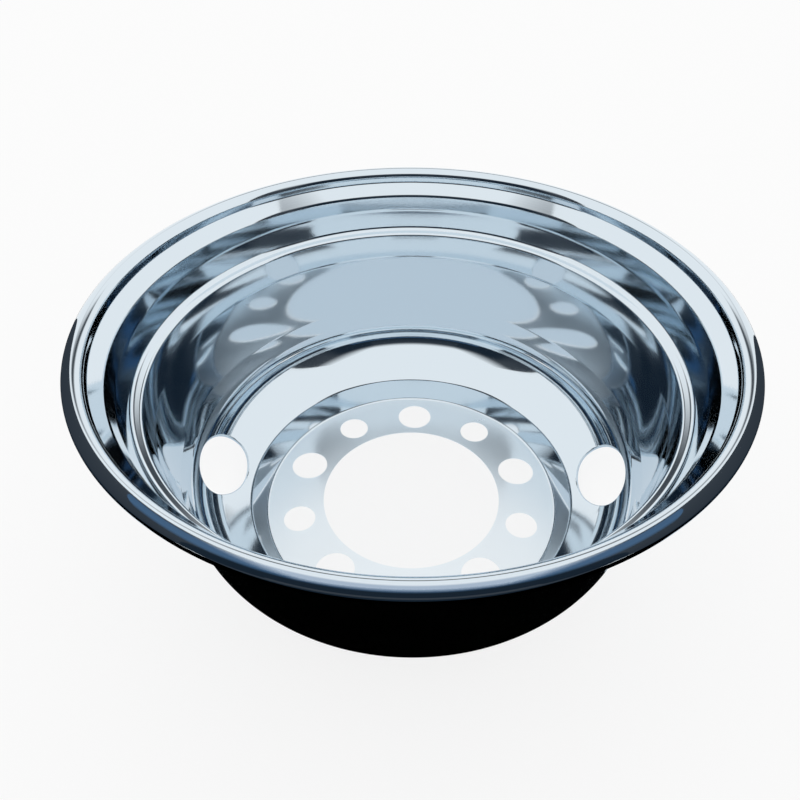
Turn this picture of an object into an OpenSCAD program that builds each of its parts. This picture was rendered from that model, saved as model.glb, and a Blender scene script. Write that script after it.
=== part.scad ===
// Rear liner for a 22.5 inch dual truck wheel, pressed from one sheet of stainless steel.
// It stands on the back of its flat centre, in the plane z = 0, with its mouth up and its axis on Z.
// Its section follows the wheel: flat, step, dish, foot, well, flare, shelf, seat, flange and rolled edge.

/* [Overall] */
// Diameter over the rolled edge
outer_d = 600; // [590:1:620]
// Height from the back of the flat to the top of the rolled edge
height = 273; // [262:1:290]
// Thickness of the sheet
sheet = 0.9; // [0.6:0.1:1.5]

/* [Flat centre] */
// Diameter of the hole that clears the hub
hub_hole_d = 222.2; // [200:0.1:228]
// Diameter to the corner where the flat turns up into the step
flat_d = 361; // [354:1:372]
// Diameter of the circle through the lug holes
lug_circle_d = 285.75; // [280:0.05:300]
// Pairs of lug holes, each pair one large hole and one small hole
lug_pairs = 5; // [3:1:5]
// Diameter of the large lug holes, which clear a nut and its washer
large_lug_hole_d = 45.6; // [40:0.1:48]
// Diameter of the small lug holes, which clear only the nut
small_lug_hole_d = 38.4; // [30:0.1:44]

/* [Step and dish] */
// Height of the step above the flat
step_h = 25.5; // [20:0.5:30]
// Slope of the step's wall
step_angle = 61; // [55:1:70]
// Bend radius at the top of the step
step_r = 6.5; // [4:0.5:8]
// Slope of the dish where it leaves the step
dish_angle = 27.5; // [24:0.5:31]
// Bend radius where the dish turns up into the well
dish_r = 55; // [50:1:64]

/* [Hand holes] */
// Number of hand holes
hand_holes = 2; // [2:1:5]
// Slope of the dish at the middle of a hand hole
hand_slope = 36.5; // [35:0.5:38]
// Width of a hand hole around the dish
hand_hole_w = 90; // [60:1:110]
// Height of a hand hole up the dish
hand_hole_h = 60; // [40:1:62]
// Depth of the edge that is turned back around a hand hole
hand_edge_h = 3; // [1.5:0.1:5]

/* [Well] */
// Diameter of the well at the top of its foot
well_d = 506.5; // [506:0.5:516]
// Height of the top of the well's foot
foot_top = 106; // [98:1:116]
// Draft of the well's foot, above the dish
foot_draft = 4; // [3:0.5:9]
// Draft of the well's wall
well_draft = 0.8; // [0.2:0.1:1.2]
// Depth from the rolled edge's top down to where the well starts to flare
flare_depth = 93; // [87:1:101]
// Draft of the flare under the shelf
flare_draft = 5.5; // [4:0.5:8]
// Bend radius of the soft bends in well and seat
soft_r = 50; // [40:5:80]

/* [Shelf, seat and flange] */
// Depth from the rolled edge's top down to the inner corner of the shelf
shelf_depth = 65; // [60:0.5:68]
// Width of the shelf
shelf_w = 8.8; // [8.5:0.1:11]
// Slope of the shelf
shelf_angle = 17.5; // [14:1:26]
// Bend radius at the inner corner of the shelf
shelf_inner_r = 4; // [3:0.5:5]
// Bend radius at the outer corner of the shelf
shelf_outer_r = 6; // [5:0.5:9]
// Draft of the seat above the shelf
seat_draft = 14.5; // [11:0.5:16]
// Depth from the rolled edge's top down to the soft bend of the seat
seat_bend_depth = 41; // [38:0.5:46]
// Draft of the seat above its soft bend
seat_top_draft = 10; // [8:0.5:12]
// Depth from the rolled edge's top down to the corner of seat and flange
flange_depth = 25.5; // [22:0.5:28]
// Bend radius at the corner of seat and flange
flange_r = 8; // [5:0.5:9]

/* [Rolled edge] */
// Outer radius of the roll
roll_r = 8.4; // [6.5:0.1:8.8]
// How far the sheet turns round in the roll, in degrees
roll_turn = 275; // [180:1:300]
// Height from the flange's outer corner up to the middle of the roll
roll_rise = 4.6; // [4:0.1:6]
// Bend radius of the crease under the roll
crease_r = 3; // [2:0.1:4]

/* [Hidden] */
$fn = 96;

// Bend radius at the foot of the step
foot_r = 4;
// Turn of the surface for each straight facet of a bend
fine_turn = 3.5;
coarse_turn = 9;
// Overshoot of a cutting body past the sheet
past = 5;
// Share of the sheet's thickness by which the turned edge runs into the sheet
bite = 0.5;

// Rise of the dish and lean of the well's foot, for each millimetre
dish_rise = tan(dish_angle);
foot_lean = tan(foot_draft);
flat_face = sheet;
step_x = flat_d / 2 + step_h / tan(step_angle);
step_z = flat_face + step_h;
dish_x = (well_d / 2 - foot_lean * (foot_top - step_z + step_x * dish_rise)) / (1 - dish_rise * foot_lean);
dish_z = step_z + (dish_x - step_x) * dish_rise;
flare_z = height - flare_depth;
flare_x = well_d / 2 + (flare_z - foot_top) * tan(well_draft);
shelf_z = height - shelf_depth;
shelf_x = flare_x + (shelf_z - flare_z) * tan(flare_draft);
seat_x = shelf_x + shelf_w;
seat_z = shelf_z + shelf_w * tan(shelf_angle);
seat_bend_z = height - seat_bend_depth;
seat_bend_x = seat_x + (seat_bend_z - seat_z) * tan(seat_draft);
flange_z = height - flange_depth;
flange_x = seat_bend_x + (flange_z - seat_bend_z) * tan(seat_top_draft);
roll_x = outer_d / 2 - roll_r;
roll_z = height - roll_r;
crease_x = roll_x - roll_r;
crease_z = roll_z - roll_rise;

// The visible face's corners from the hub hole outward: [radius, height, bend radius]
DISH = 3;
corners = [
    [hub_hole_d / 2, flat_face, 0],
    [flat_d / 2, flat_face, foot_r],
    [step_x, step_z, step_r],
    [dish_x, dish_z, dish_r],
    [well_d / 2, foot_top, soft_r],
    [flare_x, flare_z, soft_r],
    [shelf_x, shelf_z, shelf_inner_r],
    [seat_x, seat_z, shelf_outer_r],
    [seat_bend_x, seat_bend_z, soft_r],
    [flange_x, flange_z, flange_r],
    [crease_x, crease_z, crease_r],
    [crease_x, roll_z, 0]
];

function place(i) = [corners[i][0], corners[i][1]];
function unit(v) = v / norm(v);
function run(i) = unit(place(i + 1) - place(i));
function heading(v) = atan2(v[1], v[0]);
function left(a) = [-sin(a), cos(a)];
function reversed(list) = [for (i = [len(list) - 1:-1:0]) list[i]];

// A bend at corner i of the face that lies the given depth behind the visible one.
// A turn to the left opens with the depth and a turn to the right closes.
function bend_side(i) = sign(heading(run(i)) - heading(run(i - 1)));
function bend_radius(i, depth) = corners[i][2] + bend_side(i) * depth;
function bend_corner(i, depth) =
    let (a = left(heading(run(i - 1))), b = left(heading(run(i))))
    place(i) - depth * (a + b) / (1 + a * b);
function bend_middle(i, depth) =
    let (a = heading(run(i - 1)), b = heading(run(i)), r = bend_radius(i, depth))
    bend_corner(i, depth) - run(i - 1) * r * tan(abs(b - a) / 2) + bend_side(i) * r * left(a);
function bend(i, depth, turn) =
    let (
        a = heading(run(i - 1)),
        b = heading(run(i)),
        steps = max(2, ceil(abs(b - a) / turn)),
        r = bend_side(i) * bend_radius(i, depth)
    )
    [for (k = [0:steps]) bend_middle(i, depth) - r * left(a + (b - a) * k / steps)];

// The roll starts straight up at the crease and turns outward and under.
function roll(depth) =
    let (steps = ceil(roll_turn / coarse_turn), r = roll_r - depth)
    [for (k = [0:steps])
        let (a = 180 - roll_turn * k / steps)
        [roll_x + r * cos(a), roll_z + r * sin(a)]];

// One face of the sheet from the hub hole to the free edge of the roll
function face(depth) = concat(
    [place(0) - [0, depth]],
    [for (i = [1:len(corners) - 2]) each bend(i, depth, i == DISH ? fine_turn : coarse_turn)],
    roll(depth)
);

// Where the middle of a hand hole meets the dish, on the bend up into the well
hand_x = bend_middle(DISH, 0)[0] + dish_r * sin(hand_slope);
hand_z = bend_middle(DISH, 0)[1] - dish_r * cos(hand_slope);

// The sheet in section, spun round the axis
module pressed_sheet() {
    rotate_extrude()
        polygon(concat(face(0), reversed(face(sheet))));
}

// Large and small lug holes in turn, the first large one on +Y
module lug_holes() {
    for (k = [0:2 * lug_pairs - 1])
        rotate([0, 0, 90 + k * 180 / lug_pairs])
            translate([lug_circle_d / 2, 0, -past])
                cylinder(
                    d = k % 2 == 0 ? large_lug_hole_d : small_lug_hole_d,
                    h = flat_face + 2 * past
                );
}

// Sets its children square to the dish at the middle of each hand hole
module at_hand_holes() {
    for (k = [0:hand_holes - 1])
        rotate([0, 0, k * 360 / hand_holes])
            translate([hand_x, 0, hand_z])
                rotate([0, -hand_slope, 0])
                    children();
}

// An oval bar through the dish, wider than the hand hole by the margin all round
module oval_bar(margin) {
    reach = hand_hole_h / 2;
    linear_extrude(height = 2 * reach, center = true)
        polygon([for (a = [0:7.5:359])
            [(hand_hole_h / 2 + margin) * cos(a), (hand_hole_w / 2 + margin) * sin(a)]]);
}

// The edge turned back around the hand holes, as deep as the layer behind the dish
module turned_edges() {
    intersection() {
        rotate_extrude()
            polygon(concat(
                hand_layer(sheet * (1 - bite)),
                reversed(hand_layer(sheet + hand_edge_h))
            ));
        at_hand_holes() oval_bar(sheet);
    }
}

// The dish's face at the given depth, from the step's corner to above the hand holes
function hand_layer(depth) = concat(
    [bend_corner(DISH - 1, depth) + run(DISH - 1) * step_r],
    bend(DISH, depth, fine_turn)
);

module wheel_liner() {
    color([0.80, 0.83, 0.87])
    difference() {
        union() {
            pressed_sheet();
            turned_edges();
        }
        lug_holes();
        at_hand_holes() oval_bar(0);
    }
}

wheel_liner();
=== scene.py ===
import math

import bpy
import numpy as np
from mathutils import Matrix, Vector


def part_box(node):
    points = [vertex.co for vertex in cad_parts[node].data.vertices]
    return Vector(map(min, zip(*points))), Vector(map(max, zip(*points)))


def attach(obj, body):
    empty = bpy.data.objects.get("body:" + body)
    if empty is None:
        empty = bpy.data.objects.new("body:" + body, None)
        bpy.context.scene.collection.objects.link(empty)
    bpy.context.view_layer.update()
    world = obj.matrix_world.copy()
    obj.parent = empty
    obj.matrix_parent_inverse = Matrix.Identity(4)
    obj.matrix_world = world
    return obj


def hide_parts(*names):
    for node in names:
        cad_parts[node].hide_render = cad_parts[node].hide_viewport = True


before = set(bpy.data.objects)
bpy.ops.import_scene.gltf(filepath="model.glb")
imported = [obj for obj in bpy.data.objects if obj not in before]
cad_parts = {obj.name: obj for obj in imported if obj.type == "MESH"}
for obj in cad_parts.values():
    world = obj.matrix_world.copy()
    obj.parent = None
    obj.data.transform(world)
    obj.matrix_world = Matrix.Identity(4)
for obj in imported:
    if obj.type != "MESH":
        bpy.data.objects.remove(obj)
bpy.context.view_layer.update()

# Section of the pressed sheet
# A wheel liner is pressed and spun from one disc of 0.9 mm stainless steel.
# Its section is a line of straight runs and round bends, from the hub hole out to the roll that
# grips the rim. Radius and height are those of the visible face.
low_corner, high_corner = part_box("wheel_liner")
outer_radius = high_corner[0]
height = high_corner[2]
sheet = 0.0009
hub_radius = 0.1111
flat_radius = 0.1805
foot_bend = 0.004
step_height = 0.0255
step_slope = math.radians(61)
step_bend = 0.0065
dish_slope = math.radians(27.5)
dish_bend = 0.055
well_radius = 0.25325
foot_top = 0.106
foot_draft = math.radians(4)
well_draft = math.radians(0.8)
flare_depth = 0.093
flare_draft = math.radians(5.5)
soft_bend = 0.05
shelf_depth = 0.065
shelf_width = 0.0088
shelf_slope = math.radians(17.5)
shelf_inner_bend = 0.004
shelf_outer_bend = 0.006
seat_draft = math.radians(14.5)
seat_bend_depth = 0.041
seat_top_draft = math.radians(10)
flange_depth = 0.0255
flange_bend = 0.008
crease_bend = 0.003
roll_radius = 0.0084
roll_rise = 0.0046
roll_turn = math.radians(275)

dish_rise = math.tan(dish_slope)
foot_lean = math.tan(foot_draft)
step_top = flat_radius + step_height / math.tan(step_slope)
step_level = sheet + step_height
dish_radius = well_radius - foot_lean * (foot_top - step_level + step_top * dish_rise)
dish_radius /= 1 - dish_rise * foot_lean
dish_level = step_level + (dish_radius - step_top) * dish_rise
flare_level = height - flare_depth
flare_radius = well_radius + (flare_level - foot_top) * math.tan(well_draft)
shelf_level = height - shelf_depth
shelf_radius = flare_radius + (shelf_level - flare_level) * math.tan(flare_draft)
seat_radius = shelf_radius + shelf_width
seat_level = shelf_level + shelf_width * math.tan(shelf_slope)
seat_bend_level = height - seat_bend_depth
seat_bend_radius = seat_radius + (seat_bend_level - seat_level) * math.tan(seat_draft)
flange_level = height - flange_depth
flange_radius = seat_bend_radius + (flange_level - seat_bend_level) * math.tan(seat_top_draft)
crease_radius = outer_radius - 2 * roll_radius
roll_level = height - roll_radius
# Each corner as its radius, its height and the radius of its bend
corners = [
    (hub_radius, sheet, 0),
    (flat_radius, sheet, foot_bend),
    (step_top, step_level, step_bend),
    (dish_radius, dish_level, dish_bend),
    (well_radius, foot_top, soft_bend),
    (flare_radius, flare_level, soft_bend),
    (shelf_radius, shelf_level, shelf_inner_bend),
    (seat_radius, seat_level, shelf_outer_bend),
    (seat_bend_radius, seat_bend_level, soft_bend),
    (flange_radius, flange_level, flange_bend),
    (crease_radius, roll_level - roll_rise, crease_bend),
    (crease_radius, roll_level, 0),
]


def pieces_of_section():
    """Each run and bend as its length, then radius, height, heading and curvature at its start."""
    pieces = []
    last = Vector(corners[0][:2])
    for before, corner, after in zip(corners, corners[1:], corners[2:]):
        here, bend = Vector(corner[:2]), corner[2]
        arrive = (here - Vector(before[:2])).normalized()
        leave = (Vector(after[:2]) - here).normalized()
        heading = math.atan2(arrive.y, arrive.x)
        turn = math.atan2(leave.y, leave.x) - heading
        setback = bend * math.tan(abs(turn) / 2)
        start = here - arrive * setback
        pieces.append(((start - last).length, last.x, last.y, heading, 0.0))
        curve = math.copysign(1 / bend, turn)
        pieces.append((bend * abs(turn), start.x, start.y, heading, curve))
        last = here + leave * setback
    end = Vector(corners[-1][:2])
    pieces.append(((end - last).length, last.x, last.y, math.pi / 2, 0.0))
    pieces.append((roll_radius * roll_turn, end.x, end.y, math.pi / 2, -1 / roll_radius))
    return pieces


section = pieces_of_section()
# Places of the foot's bend, the dish and the dish's bend among the pieces
FOOT_BEND, DISH_RUN, DISH_BEND = 1, 4, 5
length_slack = 1e-9


def along(distance):
    """Radius, height and heading of the section at a distance from the hub hole."""
    for length, radius, level, heading, curve in section:
        if distance <= length + length_slack:
            break
        distance -= length
    now = heading + curve * distance
    if curve == 0:
        return radius + distance * math.cos(heading), level + distance * math.sin(heading), now
    return (
        radius + (math.sin(now) - math.sin(heading)) / curve,
        level - (math.cos(now) - math.cos(heading)) / curve,
        now,
    )


def start_of(piece):
    return sum(length for length, *_ in section[:piece])


# The section is drawn in short facets. They are finer in the bend that carries the hand holes.
fine_facet = math.radians(2.6)
facet = math.radians(6)
dish_stops = 4
stations = [start_of(FOOT_BEND)]
for number in range(FOOT_BEND, len(section)):
    length, curve = section[number][0], section[number][4]
    steps = math.ceil(length * abs(curve) / (fine_facet if number == DISH_BEND else facet))
    steps = dish_stops if number == DISH_RUN else max(1, steps)
    stations += [start_of(number) + length * step / steps for step in range(1, steps + 1)]

# Faces round the axis
columns = 320


def new_mesh(name, points, lines, faces, facing):
    """A mesh object that keeps where its visible face looks, in radial, round and up parts."""
    mesh = bpy.data.meshes.new(name)
    mesh.from_pydata([tuple(point) for point in points], lines, faces)
    mesh.attributes.new("facing", "FLOAT_VECTOR", "POINT").data.foreach_set(
        "vector", np.array(facing, dtype=np.float32).ravel()
    )
    made = bpy.data.objects.new(name, mesh)
    bpy.context.scene.collection.objects.link(made)
    return made


# The section lies in the plane of the circle's own frame: X outward from the circle, Y up.
line = [along(distance) for distance in stations]
section_line = new_mesh(
    "section_line",
    [(radius, level, 0) for radius, level, _ in line],
    [(spot, spot + 1) for spot in range(len(line) - 1)],
    [],
    [(-math.sin(heading), 0, math.cos(heading)) for _, _, heading in line],
)

# Flat centre with its lug holes
# The centre is pierced with ten round holes on the bolt circle, large ones for nuts with
# washers and small ones between. Each sector of the flat carries one hole in its middle.
bolt_circle = 0.28575 / 2
large_hole = 0.0228
small_hole = 0.0192
lug_pairs = 5
side_stops = 12


def flat_sector(name, hole_radius):
    """One sector of the flat, as rows of faces from its lug hole out to its sides."""
    half = math.pi / (2 * lug_pairs)
    per_sector = columns // (2 * lug_pairs)
    rim = along(stations[0])[0]
    width = rim - hub_radius
    turns = [half * (2 * step / per_sector - 1) for step in range(per_sector + 1)]
    reaches = [hub_radius + width * step / side_stops for step in range(side_stops + 1)]
    edge = [(rim, turn) for turn in turns]
    edge += [(reach, half) for reach in reversed(reaches[1:-1])]
    edge += [(hub_radius, turn) for turn in reversed(turns)]
    edge += [(reach, -half) for reach in reaches[1:-1]]
    outside = [
        Vector((reach * math.cos(turn), reach * math.sin(turn), sheet)) for reach, turn in edge
    ]
    middle = Vector((bolt_circle, 0, sheet))
    inside = [middle + (spot - middle).normalized() * hole_radius for spot in outside]
    count = len(outside)
    faces = []
    for spot in range(count):
        following = (spot + 1) % count
        faces.append((count + spot, spot, following, count + following))
    return new_mesh(name, outside + inside, [], faces, [(0, 0, 1)] * (2 * count))


large_sector = flat_sector("large_sector", large_hole)
small_sector = flat_sector("small_sector", small_hole)

# Hand holes
# Two oval holes in the bend of the dish let a hand through to the inner wheel's valve. The press
# cuts them square to the dish and turns their edge back, round a small bend.
hand_holes = 2
hand_slope = math.radians(36.5)
hand_width = 0.090
hand_height = 0.060
hand_edge = 0.003
hand_bend = 0.0016
# How far outside the oval the small bend starts, in shares of its radius
start_up = 0.65
start_around = 0.85
# The stretch of sheet that is made with the hole starts this far up the dish
window_start = 0.004
window_columns = 13
rings = 9
# Above 1 it draws the rings closer to the hole
ring_spread = 1.25
bend_rings = 6

hand_distance = start_of(DISH_BEND) + dish_bend * (hand_slope - dish_slope)
dish_middle = along(hand_distance)
hand_middle = Vector((dish_middle[0], 0, dish_middle[1]))
up_dish = Vector((math.cos(hand_slope), 0, math.sin(hand_slope)))
backward = Vector((math.sin(hand_slope), 0, -math.cos(hand_slope)))
window_half = window_columns * 2 * math.pi / columns


def on_sheet(distance, turn):
    radius, level, _ = along(distance)
    return Vector((radius * math.cos(turn), radius * math.sin(turn), level))


def facing_at(distance, turn):
    heading = along(distance)[2]
    tilt = -math.sin(heading)
    return Vector((tilt * math.cos(turn), tilt * math.sin(turn), math.cos(heading)))


def oval_spot(angle):
    """Distance and turn at which the sheet meets the oval's edge, widened by the small bend."""
    tries = 12
    nudge = 1e-6
    across = (hand_height / 2 + start_up * hand_bend) * math.cos(angle)
    around = (hand_width / 2 + start_around * hand_bend) * math.sin(angle)
    distance = hand_distance + across
    turn = around / hand_middle.x
    for _ in range(tries):
        off = on_sheet(distance, turn) - hand_middle
        miss_up, miss_round = across - off.dot(up_dish), around - off.y
        along_up = (on_sheet(distance + nudge, turn) - hand_middle - off) / nudge
        along_turn = (on_sheet(distance, turn + nudge) - hand_middle - off) / nudge
        a, b = along_up.dot(up_dish), along_turn.dot(up_dish)
        c, d = along_up.y, along_turn.y
        whole = a * d - b * c
        distance += (d * miss_up - b * miss_round) / whole
        turn += (a * miss_round - c * miss_up) / whole
    return distance, turn


nudge_angle = 1e-4
nudge_travel = 1e-3


def rim_spot(angle, travel):
    """Point of the turned edge: travel is 0 to 1 in the bend and 1 to 2 on the straight part."""
    distance, turn = oval_spot(angle)
    start = on_sheet(distance, turn)
    ahead = on_sheet(*oval_spot(angle + nudge_angle))
    inward = facing_at(distance, turn).cross(ahead - start).normalized()
    if inward.dot(hand_middle - start) < 0:
        inward = -inward
    square = (backward - inward * backward.dot(inward)).normalized()
    full = math.acos(max(-1, min(1, inward.dot(backward))))
    part = full * min(travel, 1)
    spot = start + hand_bend * (math.sin(part) * inward + (1 - math.cos(part)) * square)
    return spot + backward * max(0, travel - 1) * (hand_edge + sheet - hand_bend * math.sin(full))


def hand_stretch():
    """The sheet around a hand hole with its turned edge on +X, and the stations that it spans."""
    low = start_of(DISH_RUN) + window_start
    high = start_of(DISH_BEND + 1) + length_slack
    spanned = [spot for spot in stations if low < spot < high]
    turns = [window_half * (step / window_columns - 1) for step in range(2 * window_columns + 1)]
    edge = [(spanned[-1], turn) for turn in turns]
    edge += [(spot, window_half) for spot in reversed(spanned[1:-1])]
    edge += [(spanned[0], turn) for turn in reversed(turns)]
    edge += [(spot, -window_half) for spot in spanned[1:-1]]
    angles = []
    for spot, turn in edge:
        sideways = turn * hand_middle.x / hand_width
        angles.append(math.atan2(sideways, (spot - hand_distance) / hand_height))
    inner = [oval_spot(angle) for angle in angles]
    count = len(edge)
    points, facing = [], []
    for ring in range(rings + 1):
        share = (ring / rings) ** ring_spread
        for (spot, turn), (near, near_turn) in zip(edge, inner):
            at = (spot + (near - spot) * (1 - share), turn + (near_turn - turn) * (1 - share))
            points.append(on_sheet(*at))
            facing.append(facing_at(*at))
    rows = [[ring * count + spot for spot in range(count)] for ring in range(rings + 1)]
    travels = [step / bend_rings for step in range(1, bend_rings + 1)] + [1.5, 2]
    for travel in travels:
        row = []
        for angle in angles:
            here = rim_spot(angle, travel)
            side = rim_spot(angle + nudge_angle, travel) - rim_spot(angle - nudge_angle, travel)
            slide = rim_spot(angle, travel - nudge_travel) - here
            row.append(len(points))
            points.append(here)
            facing.append(side.cross(slide).normalized())
        rows.insert(0, row)
    free_end = rows[0][0]
    if facing[free_end].dot(hand_middle - points[free_end]) < 0:
        for row in rows[:len(travels)]:
            for spot in row:
                facing[spot] = -facing[spot]
    faces = []
    for near, far in zip(rows, rows[1:]):
        for spot in range(count):
            following = (spot + 1) % count
            faces.append((near[spot], far[spot], far[following], near[following]))
    first, second, third = (points[spot] for spot in faces[-1][:3])
    if (second - first).cross(third - second).dot(facing[faces[-1][0]]) < 0:
        faces = [tuple(reversed(face)) for face in faces]
    parts = []
    for point, look in zip(points, facing):
        out = Vector((point.x, point.y, 0)).normalized()
        around = Vector((-out.y, out.x, 0))
        parts.append((look.dot(out), look.dot(around), look.z))
    return new_mesh("hand_stretch", points, [], faces, parts), spanned


hand_piece, spanned = hand_stretch()
window_low = along(spanned[0])[0]
window_high = along(spanned[-1])[1]


# Pressing the liner
# The press spins the section round the axis, sets the flat's sectors and the two hand hole
# stretches in their places, joins them, and gives the sheet its thickness behind the visible face.
class Term:
    """A socket of a node tree, so that sums can be written with it."""

    def __init__(self, graph, socket):
        self.graph = graph
        self.socket = socket

    def combine(self, operation, first, second):
        vectors = [term for term in (first, second) if is_vector(term)]
        if operation == "MULTIPLY" and len(vectors) == 1:
            scale = second if is_vector(first) else first
            values = {0: vectors[0], "Scale": scale}
            return self.graph.node("ShaderNodeVectorMath", {"operation": "SCALE"}, values)[0]
        kind = "ShaderNodeVectorMath" if vectors else "ShaderNodeMath"
        return self.graph.node(kind, {"operation": operation}, {0: first, 1: second})[0]

    def __add__(self, other):
        return self.combine("ADD", self, other)

    def __radd__(self, other):
        return self.combine("ADD", other, self)

    def __mul__(self, other):
        return self.combine("MULTIPLY", self, other)

    def __rmul__(self, other):
        return self.combine("MULTIPLY", other, self)

    def __truediv__(self, other):
        return self.combine("DIVIDE", self, other)

    def __rtruediv__(self, other):
        return self.combine("DIVIDE", other, self)

    def __gt__(self, other):
        return self.combine("GREATER_THAN", self, other)

    def __lt__(self, other):
        return self.combine("LESS_THAN", self, other)


def is_vector(term):
    if isinstance(term, Term):
        return term.socket.type == "VECTOR"
    return isinstance(term, (tuple, Vector))


class Node:
    """A node whose outputs are read by name or number."""

    def __init__(self, graph, made):
        self.graph = graph
        self.made = made

    def __getitem__(self, key):
        return Term(self.graph, self.made.outputs[key])


class Graph:
    """A node tree that is written line by line."""

    def __init__(self, tree):
        self.tree = tree

    def node(self, kind, settings=None, sockets=None):
        made = self.tree.nodes.new(kind)
        for name, value in (settings or {}).items():
            setattr(made, name, value)
        for key, value in (sockets or {}).items():
            if isinstance(value, Term):
                self.tree.links.new(value.socket, made.inputs[key])
            elif isinstance(value, list):
                for term in value:
                    self.tree.links.new(term.socket, made.inputs[key])
            elif isinstance(value, (int, float)) and made.inputs[key].type == "VECTOR":
                made.inputs[key].default_value = (value, value, value)
            else:
                made.inputs[key].default_value = value
        return Node(self, made)

    def maths(self, operation, first, second=None):
        """A Math node of one or two numbers."""
        values = {0: first} if second is None else {0: first, 1: second}
        return self.node("ShaderNodeMath", {"operation": operation}, values)[0]

    def vector_maths(self, operation, first, second=None, result=0):
        """A Vector Math node of one or two vectors."""
        values = {0: first} if second is None else {0: first, 1: second}
        return self.node("ShaderNodeVectorMath", {"operation": operation}, values)[result]

    def stored(self, name):
        """A direction that the mesh keeps at each point."""
        vector = {"data_type": "FLOAT_VECTOR"}
        return self.node("GeometryNodeInputNamedAttribute", vector, {"Name": name})["Attribute"]


press = bpy.data.node_groups.new("press_liner", "GeometryNodeTree")
press.interface.new_socket("Geometry", in_out="OUTPUT", socket_type="NodeSocketGeometry")
press_inputs = [
    ("Section", "NodeSocketGeometry", None),
    ("Large Sector", "NodeSocketObject", large_sector),
    ("Small Sector", "NodeSocketObject", small_sector),
    ("Hand Stretch", "NodeSocketObject", hand_piece),
    ("Columns", "NodeSocketInt", columns),
    ("Lug Pairs", "NodeSocketInt", lug_pairs),
    ("Hand Holes", "NodeSocketInt", hand_holes),
    ("Sheet", "NodeSocketFloat", sheet),
    ("Window Slope", "NodeSocketFloat", math.tan(window_half)),
    ("Window Low", "NodeSocketFloat", window_low),
    ("Window High", "NodeSocketFloat", window_high),
    ("Steel", "NodeSocketMaterial", None),
]
for name, kind, _ in press_inputs:
    press.interface.new_socket(name, in_out="INPUT", socket_type=kind)

# The section is spun along a circle of one metre and stands that much nearer to the axis.
graph = Graph(press)
given = graph.node("NodeGroupInput")
unit = 1.0
circle = graph.node(
    "GeometryNodeCurvePrimitiveCircle",
    {"mode": "RADIUS"},
    {"Resolution": given["Columns"], "Radius": unit},
)["Curve"]
moved = graph.node(
    "GeometryNodeTransform",
    {},
    {
        "Geometry": given["Section"],
        "Translation": (-unit, 0.0, 0.0),
        "Scale": (1.0, -1.0, 1.0),
    },
)["Geometry"]
profile = graph.node("GeometryNodeMeshToCurve", {}, {"Mesh": moved})["Curve"]
spun = graph.node(
    "GeometryNodeCurveToMesh", {}, {"Curve": circle, "Profile Curve": profile}
)["Mesh"]

# The stretches that the hand holes fill are left open.
flatten = (1.0, 1.0, 0.0)
place = graph.node("GeometryNodeInputPosition")["Position"]
split = graph.node("ShaderNodeSeparateXYZ", {}, {"Vector": place})
reach = graph.vector_maths("LENGTH", place * flatten, result="Value")
beside = graph.maths("ABSOLUTE", split["Y"])
outward = graph.maths("ABSOLUTE", split["X"])
in_place = (beside < outward * given["Window Slope"]) * (reach > given["Window Low"])
in_place = in_place * (split["Z"] < given["Window High"])
opened = graph.node(
    "GeometryNodeDeleteGeometry", {"domain": "FACE"}, {"Geometry": spun, "Selection": in_place}
)["Geometry"]


def set_round(count, stretch, first_turn, every_turn):
    """Instances of a stretch of sheet round the axis."""
    spots = graph.node(
        "GeometryNodeMeshLine", {}, {"Count": count, "Offset": (0.0, 0.0, 0.0)}
    )["Mesh"]
    number = graph.node("GeometryNodeInputIndex")["Index"]
    turn = graph.node("ShaderNodeCombineXYZ", {}, {"Z": number * every_turn + first_turn})["Vector"]
    turned = graph.node("FunctionNodeEulerToRotation", {}, {"Euler": turn})["Rotation"]
    return graph.node(
        "GeometryNodeInstanceOnPoints",
        {},
        {"Points": spots, "Instance": stretch, "Rotation": turned},
    )["Instances"]


def shape_of(name):
    return graph.node("GeometryNodeObjectInfo", {}, {"Object": given[name]})["Geometry"]


# The first large lug hole lies on +Y and the first hand hole on +X.
first_large = math.pi / 2
first_small = first_large + math.pi / lug_pairs
pair_turn = 2 * math.pi / given["Lug Pairs"]
hand_turn = 2 * math.pi / given["Hand Holes"]
parts = [
    set_round(given["Lug Pairs"], shape_of("Large Sector"), first_large, pair_turn),
    set_round(given["Lug Pairs"], shape_of("Small Sector"), first_small, pair_turn),
    set_round(given["Hand Holes"], shape_of("Hand Stretch"), 0.0, hand_turn),
    opened,
]
joined = graph.node("GeometryNodeJoinGeometry", {}, {"Geometry": parts})["Geometry"]
real = graph.node("GeometryNodeRealizeInstances", {}, {"Geometry": joined})["Geometry"]
weld = 2e-5
front = graph.node(
    "GeometryNodeMergeByDistance", {}, {"Geometry": real, "Distance": weld}
)["Geometry"]

# Where each point looks is turned with its stretch, and the back is set off against it.
turned_parts = graph.node("ShaderNodeSeparateXYZ", {}, {"Vector": graph.stored("facing")})
out = graph.vector_maths("NORMALIZE", place * flatten)
around = graph.vector_maths("CROSS_PRODUCT", (0.0, 0.0, 1.0), out)
up = graph.node("ShaderNodeCombineXYZ", {}, {"Z": turned_parts["Z"]})["Vector"]
looks = out * turned_parts["X"] + around * turned_parts["Y"] + up
front = graph.node(
    "GeometryNodeStoreNamedAttribute",
    {"data_type": "FLOAT_VECTOR", "domain": "POINT"},
    {"Geometry": front, "Name": "looks", "Value": looks},
)["Geometry"]
thick = graph.node(
    "GeometryNodeExtrudeMesh",
    {"mode": "FACES"},
    {"Mesh": front, "Offset Scale": 0.0, "Individual": False},
)
behind = graph.node(
    "GeometryNodeSetPosition",
    {},
    {
        "Geometry": thick["Mesh"],
        "Selection": thick["Top"],
        "Offset": graph.stored("looks") * (given["Sheet"] * -1.0),
    },
)["Geometry"]
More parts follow.
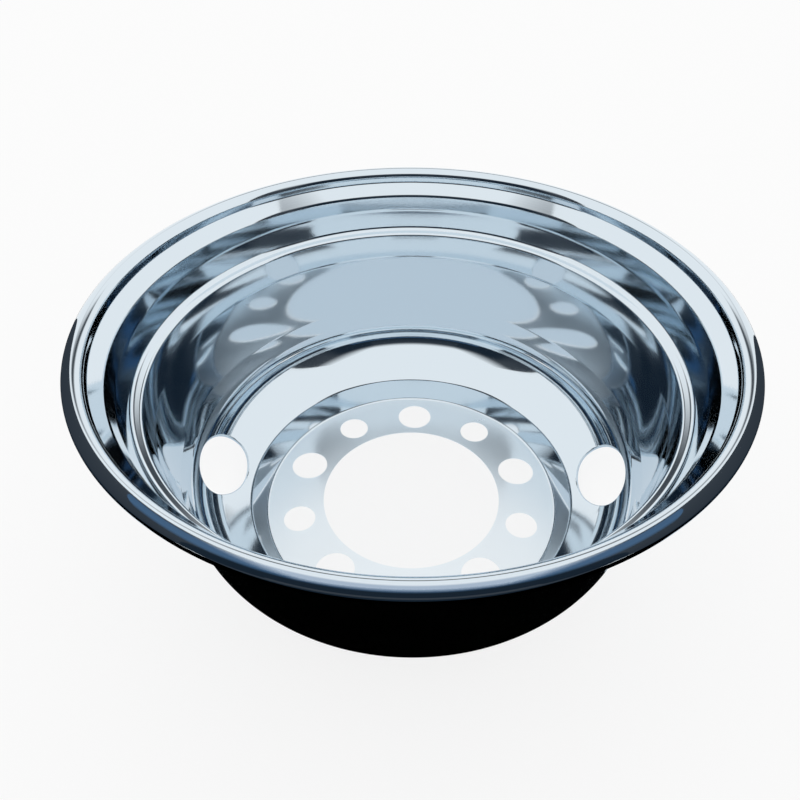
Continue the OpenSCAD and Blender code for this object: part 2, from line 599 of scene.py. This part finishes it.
for label, chosen in (("back", thick["Top"]), ("edge", thick["Side"])):
    behind = graph.node(
        "GeometryNodeStoreNamedAttribute",
        {"data_type": "BOOLEAN", "domain": "FACE"},
        {"Geometry": behind, "Name": label, "Value": chosen},
    )["Geometry"]
behind = graph.node("GeometryNodeFlipFaces", {}, {"Mesh": behind})["Mesh"]
whole = graph.node("GeometryNodeJoinGeometry", {}, {"Geometry": [front, behind]})["Geometry"]
for kind, sockets in (
    ("GeometryNodeMergeByDistance", {"Distance": weld}),
    ("GeometryNodeSetShadeSmooth", {"Shade Smooth": True}),
    ("GeometryNodeRealizeInstances", {}),
    ("GeometryNodeSetMaterial", {"Material": given["Steel"]}),
):
    whole = graph.node(kind, {}, {"Geometry": whole, **sockets})["Geometry"]
graph.node("NodeGroupOutput", {}, {0: whole})

# Polished stainless steel
# Mirror polished sheet, a little wavy from the press and marked ring by ring by the polishing
# mop, with a satin flat centre and a back that is left dull. The satin flat is also painted a
# lighter colour than the rest of the same steel, which is painted light.
bright_colour = (0.71, 0.79, 0.85, 1)
# Painted light: the satin flat is painted lighter than the polished steel of the same sheet.
painted_light_satin_colour = (0.85, 0.91, 0.95, 1)
flat_margin = 0.001
flat_top = 0.0015
cloud_scale = 26.0
ring_scale = 700.0
wave_scale = 9.0
wave_height = 0.0002
ring_height = 0.000003
dull_roughness = 0.12

steel = bpy.data.materials.new("polished_stainless_sheet")
steel.use_nodes = True
steel.node_tree.nodes.clear()
graph = Graph(steel.node_tree)


def noise(spot, scale, detail, dimensions="3D"):
    values = {"Vector": spot, "Scale": scale, "Detail": detail}
    return graph.node("ShaderNodeTexNoise", {"noise_dimensions": dimensions}, values)[0]


spot = graph.node("ShaderNodeTexCoord")["Object"]
split = graph.node("ShaderNodeSeparateXYZ", {}, {"Vector": spot})
reach = graph.vector_maths("LENGTH", spot * flatten, result="Value")
on_flat = (reach < flat_radius - flat_margin) * (split["Z"] < flat_top)
cloud = noise(spot, cloud_scale, 3.0)
ring_spot = graph.node("ShaderNodeCombineXYZ", {}, {"X": reach, "Y": split["Z"]})["Vector"]
relief = noise(spot, wave_scale, 1.0) * wave_height
relief = relief + noise(ring_spot, ring_scale, 2.0, "2D") * ring_height
dent = graph.node(
    "ShaderNodeBump", {}, {"Strength": 1.0, "Distance": 1.0, "Height": relief}
)["Normal"]
dull = graph.node("ShaderNodeAttribute", {"attribute_name": "back"})["Fac"]
polish = 0.05 + cloud * 0.02
satin = 0.19 + cloud * 0.10
# The flat's lighter colour is painted light, as if the flat took more light than the rest.
# A Mix node of colours takes them in its sockets 6 and 7 and gives the result in its output 2.
tone = graph.node(
    "ShaderNodeMix",
    {"data_type": "RGBA"},
    {0: on_flat * (0.7 + cloud * 0.3), 6: bright_colour, 7: painted_light_satin_colour},
)[2]
shader = graph.node(
    "ShaderNodeBsdfPrincipled",
    {},
    {
        "Base Color": tone,
        "Metallic": 1.0,
        "Roughness": polish + on_flat * satin + dull * dull_roughness,
        "Normal": dent,
    },
)["BSDF"]
graph.node("ShaderNodeOutputMaterial", {}, {"Surface": shader})

press_step = section_line.modifiers.new("press", "NODES")
press_step.node_group = press
identifiers = {
    item.name: item.identifier
    for item in press.interface.items_tree
    if item.item_type == "SOCKET" and item.in_out == "INPUT"
}
for name, _, value in press_inputs:
    if value is not None:
        press_step[identifiers[name]] = value
press_step[identifiers["Steel"]] = steel

bpy.context.view_layer.update()
ready = section_line.evaluated_get(bpy.context.evaluated_depsgraph_get())
liner_mesh = bpy.data.meshes.new_from_object(ready)
liner = bpy.data.objects.new("pressed_liner", liner_mesh)
bpy.context.scene.collection.objects.link(liner)
for helper in (section_line, large_sector, small_sector, hand_piece):
    bpy.data.objects.remove(helper)


def read_out(data, field, kind, width=1):
    """One value of each of a mesh's elements, as an array."""
    values = np.zeros(len(data) * width, dtype=kind)
    data.foreach_get(field, values)
    return values


def exact_facing(mesh):
    """Gives each corner the direction in which the sheet looks, and keeps cut edges sharp."""
    looks = read_out(mesh.attributes["looks"].data, "vector", np.float32, 3).reshape(-1, 3)
    back = read_out(mesh.attributes["back"].data, "value", bool)
    edge = read_out(mesh.attributes["edge"].data, "value", bool)
    totals = read_out(mesh.polygons, "loop_total", np.int32)
    corner_face = np.repeat(np.arange(len(mesh.polygons)), totals)
    corner_spot = read_out(mesh.loops, "vertex_index", np.int32)
    corner_line = read_out(mesh.loops, "edge_index", np.int32)
    lines = len(mesh.edges)
    touches_edge = np.bincount(corner_line, weights=edge[corner_face], minlength=lines)
    touches_any = np.bincount(corner_line, minlength=lines)
    sharp = (touches_edge > 0) & (touches_edge < touches_any)
    marks = mesh.attributes.get("sharp_edge")
    if marks is None:
        marks = mesh.attributes.new("sharp_edge", "BOOLEAN", "EDGE")
    marks.data.foreach_set("value", sharp)
    normals = looks[corner_spot] * np.where(back[corner_face], -1.0, 1.0)[:, None]
    normals[edge[corner_face]] = 0
    mesh.normals_split_custom_set([tuple(normal) for normal in normals])


exact_facing(liner_mesh)
print("liner", len(liner_mesh.vertices), "vertices", len(liner_mesh.polygons), "faces")
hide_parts("wheel_liner")
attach(liner, "root")

# Floor and studio
# The liner stands on a plain pale floor under a plain white sky. To the camera and to polished
# metal the floor is nearly white, and it keeps the liner's soft shadow.
floor_half = 6.0
floor_glow = 0.8
world = bpy.data.worlds.new("pale_room")
bpy.context.scene.world = world
world.use_nodes = True
world.node_tree.nodes.clear()
graph = Graph(world.node_tree)
white = {"Color": (1.0, 1.0, 1.0, 1), "Strength": 1.0}
sky = graph.node("ShaderNodeBackground", {}, white)["Background"]
graph.node("ShaderNodeOutputWorld", {}, {"Surface": sky})


def card(name, points, faces, paint):
    """A flat thing of the studio, which isn't part of the liner."""
    mesh = bpy.data.meshes.new(name)
    mesh.from_pydata(points, [], faces)
    made = bpy.data.objects.new(name, mesh)
    bpy.context.scene.collection.objects.link(made)
    mesh.materials.append(paint)
    return made


pale = bpy.data.materials.new("pale_floor")
pale.use_nodes = True
pale.node_tree.nodes.clear()
graph = Graph(pale.node_tree)
path = graph.node("ShaderNodeLightPath")
seen = graph.maths("MAXIMUM", path["Is Camera Ray"], path["Is Glossy Ray"])
seen = graph.maths("MAXIMUM", seen, path["Is Transmission Ray"])
matte = graph.node("ShaderNodeBsdfDiffuse", {}, {"Color": (0.85, 0.85, 0.85, 1)})["BSDF"]
glow = graph.node("ShaderNodeEmission", {}, white)["Emission"]
surface = graph.node("ShaderNodeMixShader", {}, {0: seen * floor_glow, 1: matte, 2: glow})[0]
graph.node("ShaderNodeOutputMaterial", {}, {"Surface": surface})
floor_ends = ((-1, -1), (1, -1), (1, 1), (-1, 1))
card("floor", [(x * floor_half, y * floor_half, 0) for x, y in floor_ends], [(0, 1, 2, 3)], pale)

# Tent
# Only reflections show it. It is a dome of dark cloth that stands for the room: thick behind the
# camera up to half its height, thick in a bar over the backdrop, and nothing elsewhere.
dark_colour = (0.012, 0.021, 0.033, 1)
tent_radius = 5.0
tent_columns = 90
tent_rows = 60
tent_low = -12


def soft_step(value, low, high):
    share = min(1, max(0, (value - low) / (high - low)))
    return share * share * (3 - 2 * share)


def soft_patch(turn, rise, middle_turn, middle_rise, half_turn, half_rise, soft):
    """One inside an upright oblong of the tent and nothing past its soft edge, in degrees."""
    aside = abs((turn - middle_turn + 180) % 360 - 180) - half_turn
    above = abs(rise - middle_rise) - half_rise
    return (1 - soft_step(aside, 0, soft)) * (1 - soft_step(above, 0, soft))


def tent_shade(turn, rise):
    behind_camera = 0.98 * soft_patch(turn, rise, -92, 2, 46, 38, 10)
    over_backdrop = 0.95 * soft_patch(turn, rise, 90, 36, 15, 1, 7)
    return 1 - (1 - behind_camera) * (1 - over_backdrop)


def glowing(name, colour):
    """A material that gives off its own colour, with the graph and the shader to finish it."""
    made = bpy.data.materials.new(name)
    made.use_nodes = True
    made.node_tree.nodes.clear()
    graph = Graph(made.node_tree)
    glow = graph.node("ShaderNodeEmission", {}, {"Color": colour, "Strength": 1.0})["Emission"]
    return made, graph, glow


def cloth_of(name, colour):
    """A cloth as thick at each point as the point's shade says."""
    cloth, graph, glow = glowing(name, colour)
    shade = graph.node("ShaderNodeAttribute", {"attribute_name": "shade"})["Fac"]
    clear = graph.node("ShaderNodeBsdfTransparent")["BSDF"]
    veil = graph.node("ShaderNodeMixShader", {}, {0: shade, 1: clear, 2: glow})[0]
    graph.node("ShaderNodeOutputMaterial", {}, {"Surface": veil})
    return cloth


def only_reflected(made):
    """Hides a card from the camera and from soft light, and takes its shadow away."""
    made.visible_camera = False
    made.visible_diffuse = False
    made.visible_shadow = False


def on_circle(radius, turn, level):
    turn = math.radians(turn)
    return radius * math.cos(turn), radius * math.sin(turn), level


def cloth_card(name, rows, shades, cloth, closed=False):
    """A cloth over rows of points that are all as long, with a shade for each row or point."""
    count = len(rows[0])
    faces = []
    for row in range(len(rows) - 1):
        for spot in range(count if closed else count - 1):
            following = (spot + 1) % count
            low, high = row * count, (row + 1) * count
            faces.append((low + spot, low + following, high + following, high + spot))
    made = card(name, [point for row in rows for point in row], faces, cloth)
    made.data.attributes.new("shade", "FLOAT", "POINT").data.foreach_set(
        "value", [shade for row in shades for shade in row]
    )
    only_reflected(made)


dark_cloth = cloth_of("dark_cloth", dark_colour)
turns = [360 * column / tent_columns for column in range(tent_columns)]
rises = [tent_low + (90 - tent_low) * row / tent_rows for row in range(tent_rows + 1)]
rows = []
for rise in rises:
    reach = tent_radius * math.cos(math.radians(rise))
    level = tent_radius * math.sin(math.radians(rise))
    rows.append([on_circle(reach, turn, level) for turn in turns])
shades = [[tent_shade(turn, rise) for turn in turns] for rise in rises]
cloth_card("tent", rows, shades, dark_cloth, closed=True)

# Flags round the liner
# Only reflections show them. Dark cloths hang before the liner and at its left and right, from
# its middle to the camera. Each is thick below and thins out to nothing at its top.
side_flag_x = 0.32
side_flag_y = (-0.6, -0.01)
side_flag_levels = (0.20, 0.62, 0.92)
side_flag_shades = (0.98, 0.95, 0.0)
front_flag_x = 0.36
front_flag_y = -0.38
front_flag_levels = (0.20, 0.36, 0.50)
front_flag_shades = (0.97, 0.95, 0.0)

for side, name in ((-1, "left_flag"), (1, "right_flag")):
    rows = [[(side * side_flag_x, y, level) for y in side_flag_y] for level in side_flag_levels]
    cloth_card(name, rows, [[shade] * 2 for shade in side_flag_shades], dark_cloth)
front_ends = (-front_flag_x, front_flag_x)
rows = [[(x, front_flag_y, level) for x in front_ends] for level in front_flag_levels]
cloth_card("front_flag", rows, [[shade] * 2 for shade in front_flag_shades], dark_cloth)

# Veil over the lip
# Only reflections show it. A thin blue cloth hangs close over the front of the rolled edge and
# follows its curve, so that the edge's top is blue-grey between its bright line and its dark side.
veil_colour = (0.10, 0.22, 0.40, 1)
veil_level = 0.31
veil_radii = (0.282, 0.292, 0.318, 0.352)
veil_shades = (0.0, 0.5, 0.55, 0.0)
veil_first_turn = -135
veil_turn = 90
veil_steps = 22

blue_cloth = cloth_of("blue_cloth", veil_colour)
turns = [veil_first_turn + veil_turn * step / veil_steps for step in range(veil_steps + 1)]
rows = [[on_circle(radius, turn, veil_level) for turn in turns] for radius in veil_radii]
cloth_card("lip_veil", rows, [[shade] * len(turns) for shade in veil_shades], blue_cloth)

# Paper on the floor, and painted shade under the liner
# Only reflections show it. Black paper lies round the liner. Under the liner and a little past its
# back rim, a grey sheet is painted shade: it stands for the liner's shade on the floor, where its
# polish mirrors the floor through the hub hole, the lug holes and the hand holes.
black_colour = (0.0, 0.0, 0.0, 1)
# Painted shade: the grey stands for the liner's shade on the floor, as the polish mirrors it.
painted_shade_colour = (0.62, 0.70, 0.77, 1)
paper_level = 0.002
front_inner = 0.20
back_inner = 0.45
paper_outer = 1.0
front_turns = (-155, -25)
paper_steps = 90
paper_overlap = 0.0005
hole_margin = 0.001
hole_steps = 40

black_paper, graph, ink = glowing("black_paper", black_colour)
graph.node("ShaderNodeOutputMaterial", {}, {"Surface": ink})
# The grey sheet glows at a fixed level, a painted shade of the floor under the liner.
painted_shade_paper, graph, ink = glowing("painted_shade_paper", painted_shade_colour)
graph.node("ShaderNodeOutputMaterial", {}, {"Surface": ink})
turns = [360 * step / paper_steps - 180 for step in range(paper_steps)]


def ring_paper(name, inner, outer, paint):
    """A ring of paper between two lists of radii, one for each turn."""
    points = [
        on_circle(radius, turn, paper_level)
        for radii in (inner, outer)
        for radius, turn in zip(radii, turns)
    ]
    faces = []
    for step in range(paper_steps):
        following = (step + 1) % paper_steps
        faces.append((step, paper_steps + step, paper_steps + following, following))
    only_reflected(card(name, points, faces, paint))


def round_painted_shade(name, x, y, radius):
    points = []
    for step in range(hole_steps):
        across, along_y, level = on_circle(radius, 360 * step / hole_steps, paper_level)
        points.append((x + across, y + along_y, level))
    only_reflected(card(name, points, [tuple(range(hole_steps))], painted_shade_paper))


inner = [front_inner if front_turns[0] < turn < front_turns[1] else back_inner for turn in turns]
ring_paper("black_ring", inner, [paper_outer] * paper_steps, black_paper)
# The grey ring and the round grey sheets at the hub and lug holes are painted shade under the
# liner.
painted_shade_outer = [radius + paper_overlap for radius in inner]
ring_paper("grey_ring", [front_inner] * paper_steps, painted_shade_outer, painted_shade_paper)
round_painted_shade("hub_paper", 0, 0, hub_radius - hole_margin)
for number in range(2 * lug_pairs):
    turn = math.pi / 2 + number * math.pi / lug_pairs
    radius = (large_hole if number % 2 == 0 else small_hole) - hole_margin
    x, y = bolt_circle * math.cos(turn), bolt_circle * math.sin(turn)
    round_painted_shade("lug_paper_%d" % number, x, y, radius)

# Camera
# It looks down on the liner from the front at the photograph's angle. The focal length was found
# in pixels of a picture 800 wide.
picture_width = 800
focal_pixels = 573.083
sensor_width = 36
camera_place = (0.01256, -0.46346, 0.56477)
camera_data = bpy.data.cameras.new("camera")
camera_data.sensor_width = sensor_width
camera_data.lens = focal_pixels / picture_width * sensor_width
camera_data.shift_x = -0.01255
camera_data.shift_y = 0.1268
camera_data.clip_start = 0.01
camera = bpy.data.objects.new("camera", camera_data)
bpy.context.scene.collection.objects.link(camera)
turn, tilt, roll = math.radians(1.740), math.radians(90 - 51.333), math.radians(0.319)
camera.matrix_world = (
    Matrix.Translation(camera_place)
    @ Matrix.Rotation(turn, 4, "Z")
    @ Matrix.Rotation(tilt, 4, "X")
    @ Matrix.Rotation(roll, 4, "Z")
)
bpy.context.scene.camera = camera
bpy.context.scene.view_settings.view_transform = "Standard"
